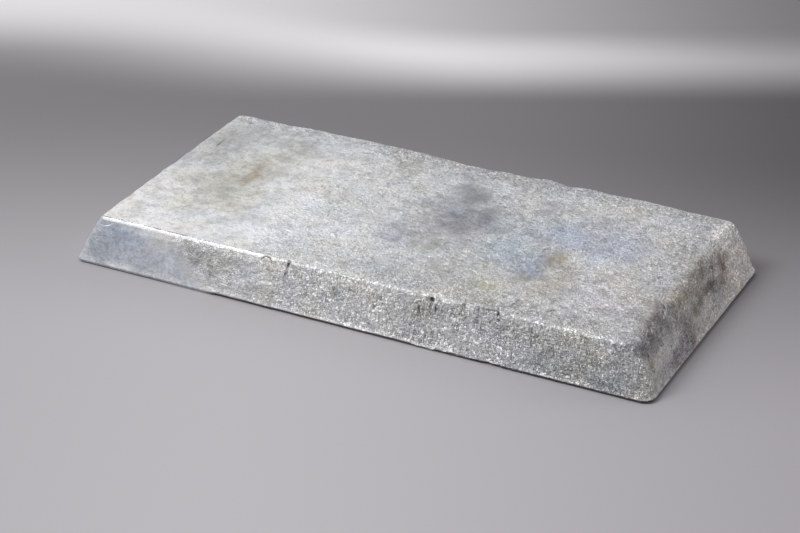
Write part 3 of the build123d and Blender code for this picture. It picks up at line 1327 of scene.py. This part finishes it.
def flecks_and_painted_glints(tree, marks, noises, bare):
    """Flecks of pale oxide along the folds, partly painted glints, fewer on the bare metal."""
    lines = [thin_lines(tree, noises, name) for name in ("folds", "small")]
    flecks_and_glints = math_node(tree, "MAXIMUM", *lines)
    flecks_and_glints = product(tree, flecks_and_glints, shows(tree, noises["middle"], "flecks_and_glints"))
    flecks_and_glints = product(tree, flecks_and_glints, strength(tree, marks, "flecks_and_glints"), clamp=True)
    return product(tree, flecks_and_glints, mix_value(tree, bare, 1.0, BARE_FLECKS_AND_GLINTS))


def coarse_grain(tree, marks, noises, place):
    """Painted shade in the gaps between the grains of the rough skin, and painted highlights on their
    crests.
    """
    inputs = {"Vector": squeezed(tree, place, GRAIN_SQUEEZE), "Scale": 1 / GRAIN}
    cells = add_node(tree, "ShaderNodeTexVoronoi", inputs).outputs["Distance"]
    cells = math_node(tree, "ADD", cells, product(tree, noises["small"], GRAIN_NOISE))
    grainy = shows(tree, marks["rough_cast"], "grains")
    gap_shade = product(tree, shows(tree, cells, "gap_shade"), grainy)
    crest_highlight = product(tree, hides(tree, cells, "crest_highlight"), grainy)
    return gap_shade, crest_highlight


def chipped_scratch_and_highlight(tree, marks, noises):
    """The scratches and the painted edge highlight, with chips out of them."""
    chipped = add_up(tree, (marks["scratch_and_edge_highlight"], EDGE_SHARE), (noises["small"], CHIP_SHARE))
    return shows(tree, chipped, "scratch_and_edge_highlight")


def zinc_surface(tree, masks, pale):
    """Roughness of the surface: oxide, bare metal, and the scratches, the painted edge highlight and the
    flecks.
    """
    oxide_surface = mix_value(tree, pale, SURFACE["grey"], SURFACE["pale"])
    surface = mix_value(tree, masks["bare"], oxide_surface, SURFACE["bare"])
    flecks_and_glints = product(tree, masks["flecks_and_glints"], BRIGHT_FLECKS_AND_GLINTS)
    bright = math_node(tree, "MAXIMUM", masks["scratch_and_edge_highlight"], flecks_and_glints)
    return mix_value(tree, bright, surface, SURFACE["scratch_and_edge_highlight"])


def zinc_bump(tree, marks, noises, masks):
    """Grain and creases too fine for the mesh, as a normal."""
    rough = marks["rough_cast"]
    shaping = {**masks, "rough": rough}
    parts = noise_parts(noises, "height")
    parts.append((noises["drips"], product(tree, rough, DRIP_HEIGHT)))
    parts.append((noises["folds"], rough))
    parts += [(shaping[name], share) for name, share in HEIGHTS.items()]
    height = math_node(tree, "SUBTRACT", add_up(tree, *parts), HEIGHT_MIDDLE)
    share = mix_value(tree, masks["bare"], strength(tree, marks, "bump"), BARE_BUMP)
    share = mix_value(tree, masks["scratch_and_edge_highlight"], share, SCRATCH_AND_HIGHLIGHT_BUMP)
    height = product(tree, height, share)
    bump = add_node(tree, "ShaderNodeBump", {"Strength": 1.0, "Distance": MM, "Height": height})
    return bump.outputs[0]


def paint_zinc(colours):
    """The slab's finish: pale oxide over grey zinc, stains and painted light, painted shade in pits,
    creases, grain gaps, cracks and along the lip, painted highlights on grain crests and the front edge,
    and a bare smooth corner.
    """
    zinc = bpy.data.materials.new("cast zinc")
    zinc.use_nodes = True
    tree = zinc.node_tree
    shader = tree.nodes["Principled BSDF"]
    place = tree.nodes.new("ShaderNodeTexCoord").outputs["Object"]
    place = add_node(tree, "ShaderNodeVectorMath", {0: place, 3: 1 / MM}, operation="SCALE").outputs[0]
    marks = read_marks(tree)
    noises = finish_noises(tree, place)

    colour, pale = oxide(tree, marks, noises, colours)
    bare_colour, bare = bare_metal(tree, marks, noises, colours)
    gap_shade, crest_highlight = coarse_grain(tree, marks, noises, place)
    masks = {
        "bare": bare,
        "pit_shade": painted_pit_shade(tree, marks, noises),
        "crease_shade": painted_crease_shade(tree, marks, noises),
        "flecks_and_glints": flecks_and_painted_glints(tree, marks, noises, bare),
        "gap_shade": gap_shade,
        "crest_highlight": crest_highlight,
        "recess_shade": marks["crack_and_lip_shade"],
        "scratch_and_edge_highlight": chipped_scratch_and_highlight(tree, marks, noises),
    }
    veil = strength(tree, marks, "veil")
    fleck_and_highlight_colour = mix_colour(tree, veil, FLECK_AND_GLINT_WHITE, marks["stain_and_light"], "DARKEN")
    # Paints: painted shade in pits, creases, grain gaps and recesses; painted highlights on crests and
    # the edge
    paints = {
        "bare": bare_colour,
        "pit_shade": SHADE_GREY,
        "crease_shade": CREASE_SHADE_GREY,
        "flecks_and_glints": fleck_and_highlight_colour,
        "gap_shade": SHADE_GREY,
        "crest_highlight": fleck_and_highlight_colour,
        "recess_shade": (*colours.crack_and_lip_shade, 1),
        "scratch_and_edge_highlight": SCRATCH_AND_HIGHLIGHT_WHITE,
    }
    for name, cover in COVERS.items():
        colour = mix_colour(tree, product(tree, masks[name], cover), colour, paints[name])

    tree.links.new(colour, shader.inputs["Base Color"])
    shader.inputs["Metallic"].default_value = METALLIC
    tree.links.new(zinc_surface(tree, masks, pale), shader.inputs["Roughness"])
    tree.links.new(zinc_bump(tree, marks, noises, masks), shader.inputs["Normal"])
    return zinc


def rough_mask(zones, tints):
    """How rough the finish is, less where the top is stained dark."""
    calm = climb(tints.mean(axis=1), CALM)
    rough = WALL_FINISH * zones["rough wall"] + TOP_FINISH * calm * zones["rough top"]
    return rough + (GRAIN_FINISH * zones["granular"] + FOOT_FINISH * zones["foot"])


def lip_shade(places, outward):
    """Painted contact shade along the foot of the lip, lighter at the clean corner."""
    under_lip = ease(-outward[:, 2], *LIP_SHADE_FACING) * (1 - ease(places[:, 2], *LIP_SHADE_UP))
    near_rim = climb(places[:, 0], LIP_SHADE_ALONG) * (1 - ease(rim_inset(places), *LIP_SHADE_IN))
    return under_lip * near_rim


def mark_skin(skin):
    """Keep with each vertex what the finish reads: roughness, bare metal, stains with painted light,
    painted shade in cracks, hollows and along the lip, and the scratches with the painted edge
    highlight.
    """
    places, outward = skin_points(skin)
    zones = skin_zones(places, outward)
    frayed_places = frayed(places)
    tints = stain_and_light_tints(frayed_places)
    # Painted shade in the cracks, darkest along their middle, and in the deepest hollows
    recess_shade = CRACK_SHADE * line_marks(places, CRACKS, CRACK_SHADE_WIDTH)
    recess_shade = recess_shade + ease(hollow_marks(places, 1), *SHADED_HOLLOW)
    scratches = line_marks(wavering(places, frayed_places), SCRATCHES) * SCRATCH_SHINE
    scratch_and_edge_highlight = np.maximum(np.clip(scratches, 0, MOST_SCRATCH_SHINE), line_marks(places, EDGE_HIGHLIGHT))
    store_mask(skin, "rough_cast", rough_mask(zones, tints))
    store_mask(skin, "bare_zinc", zones["clean corner"])
    store_mask(skin, "crack_and_lip_shade", np.maximum(recess_shade, lip_shade(places, outward)))
    store_mask(skin, "scratch_and_edge_highlight", scratch_and_edge_highlight * (1 - np.clip(SHADE_DIMS * recess_shade, 0, 1)))
    store_tints(skin, "stain_and_light", tints)


class OBJECT_OT_cast_slab(bpy.types.Operator):
    """Model the skin of the slab round its solid"""

    bl_idname = "object.cast_slab"
    bl_label = "Cast the slab"

    def execute(self, context):
        sizes = context.scene.slab_sizes
        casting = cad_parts["ingot"]
        bpy.ops.object.select_all(action="DESELECT")
        skin, reach = add_top_sheet(casting, sizes)
        skin.name = "cast_slab"
        skin.data.name = "cast_slab"
        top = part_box("ingot")[1].z
        reach = drop_walls(casting, top, reach, sizes)
        close_foot(reach, sizes)
        press_to_casting(skin, casting)
        refine_lines(skin, CRACKS + SCRATCHES)
        refine_lines(skin, SCRATCHES)
        add_marks(skin)
        add_relief(skin, sizes.relief)
        add_edge_waves(skin)
        settle(skin, top)
        mark_skin(skin)
        bpy.ops.object.shade_smooth()
        skin.data.materials.append(paint_zinc(context.scene.slab_colours))
        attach(skin, "root")
        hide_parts("ingot")
        return {"FINISHED"}


def add_softbox(name, place, aim, size, watts):
    """A soft rectangular lamp aimed at a point."""
    bpy.ops.object.light_add(type="AREA", location=place)
    lamp = bpy.context.active_object
    lamp.name = name
    lamp.data.shape = "RECTANGLE"
    lamp.data.size, lamp.data.size_y = size
    lamp.data.energy = watts
    direction = Vector(aim) - Vector(place)
    lamp.rotation_euler = direction.to_track_quat("-Z", "Y").to_euler()


def along(tree, place, direction):
    """How far each place lies in a direction."""
    node = add_node(tree, "ShaderNodeVectorMath", {0: place, 1: direction}, operation="DOT_PRODUCT")
    return node.outputs["Value"]


def studio_air(studio):
    """Soft light from all round, brighter from the left and dimmer towards the right."""
    world = bpy.data.worlds.new("studio air")
    world.use_nodes = True
    tree = world.node_tree
    view = tree.nodes.new("ShaderNodeTexCoord").outputs["Generated"]
    share = step_range(tree, along(tree, view, BRIGHT_SIDE), *AIR_LIMITS)
    light = mix_colour(tree, share, (*studio.dim_air, 1), (*studio.bright_air, 1))
    tree.links.new(light, tree.nodes["Background"].inputs["Color"])
    return world


def two_sided(tree, aside, name, left, right):
    """A colour of the floor that changes from the left to the right."""
    return mix_colour(tree, step_range(tree, aside, *FLOOR_SIDES[name]), (*left, 1), (*right, 1))


def floor_paper(studio):
    """Pale paper with painted shade behind the slab, a painted band of light and a dimmer painted
    stretch beyond it, and painted shade towards the right and at the left.
    """
    paper = bpy.data.materials.new("floor paper")
    paper.use_nodes = True
    tree = paper.node_tree
    shader = tree.nodes["Principled BSDF"]
    place = tree.nodes.new("ShaderNodeTexCoord").outputs["Object"]
    away, aside = along(tree, place, AWAY), along(tree, place, ASIDE)
    # Painted shade towards the right and at the left of the floor
    colour = two_sided(tree, aside, "near", studio.floor_colour, studio.floor_right_shade_colour)
    left_shade = step_range(tree, aside, *LEFT_SHADE_PLACES, studio.left_shade, 1.0)
    colour = mix_colour(tree, 1.0, colour, left_shade, "MULTIPLY")
    # Painted shade behind the slab, a painted band of light, and painted light and shade beyond it
    stretches = {
        "dark": (studio.shade_behind_left_colour, studio.shade_behind_right_colour),
        "band": (studio.painted_band_left_colour, studio.painted_band_right_colour),
        "far": (studio.far_left_colour, studio.far_right_colour),
    }
    for name, (left, right) in stretches.items():
        start = step_range(tree, aside, *FLOOR_STARTS[name])
        end = step_range(tree, aside, *FLOOR_ENDS[name])
        paint = two_sided(tree, aside, name, left, right)
        colour = mix_colour(tree, step_range(tree, away, start, end), colour, paint)
    tree.links.new(colour, shader.inputs["Base Color"])
    shader.inputs["Roughness"].default_value = PAPER_ROUGHNESS
    return paper


class OBJECT_OT_lay_stage(bpy.types.Operator):
    """Lay the floor, hang the lamps and set the camera"""

    bl_idname = "object.lay_stage"
    bl_label = "Lay the stage"

    def execute(self, context):
        studio = context.scene.studio_settings
        bpy.ops.object.select_all(action="DESELECT")
        bpy.ops.mesh.primitive_plane_add(size=studio.floor_width)
        floor = context.active_object
        floor.name = "paper_floor"
        floor.data.materials.append(floor_paper(studio))

        add_softbox("key softbox", *KEY_SOFTBOX, studio.key_power)
        add_softbox("right fill", *RIGHT_FILL, studio.fill_power)
        context.scene.world = studio_air(studio)
        context.scene.view_settings.view_transform = "Standard"

        bpy.ops.object.camera_add(location=CAMERA_PLACE)
        camera = context.active_object
        camera.name = "camera"
        camera.rotation_euler = (math.pi / 2 - math.radians(CAMERA_TILT), 0, math.radians(CAMERA_TURN))
        camera.data.lens = studio.lens
        camera.data.sensor_width = SENSOR_WIDTH
        context.scene.camera = camera
        return {"FINISHED"}


class VIEW3D_PT_zinc_slab(bpy.types.Panel):
    """Sidebar panel of the slab's operators and settings."""

    bl_label = "Zinc Slab"
    bl_idname = "VIEW3D_PT_zinc_slab"
    bl_space_type = "VIEW_3D"
    bl_region_type = "UI"
    bl_category = "Zinc Slab"

    def draw(self, context):
        layout = self.layout
        layout.operator("object.cast_slab")
        layout.operator("object.lay_stage")
        scene = context.scene
        for settings in (scene.slab_sizes, scene.slab_colours, scene.studio_settings):
            for name in settings.bl_rna.properties.keys():
                if name not in ("rna_type", "name"):
                    layout.prop(settings, name)


CLASSES = (
    SlabSizes,
    SlabColours,
    StudioSettings,
    OBJECT_OT_cast_slab,
    OBJECT_OT_lay_stage,
    VIEW3D_PT_zinc_slab,
)


def register():
    for cls in CLASSES:
        bpy.utils.register_class(cls)
    bpy.types.Scene.slab_sizes = PointerProperty(type=SlabSizes)
    bpy.types.Scene.slab_colours = PointerProperty(type=SlabColours)
    bpy.types.Scene.studio_settings = PointerProperty(type=StudioSettings)


def unregister():
    del bpy.types.Scene.studio_settings
    del bpy.types.Scene.slab_colours
    del bpy.types.Scene.slab_sizes
    for cls in reversed(CLASSES):
        bpy.utils.unregister_class(cls)


def main():
    register()
    bpy.ops.object.cast_slab()
    bpy.ops.object.lay_stage()


if __name__ == "__main__":
    main()
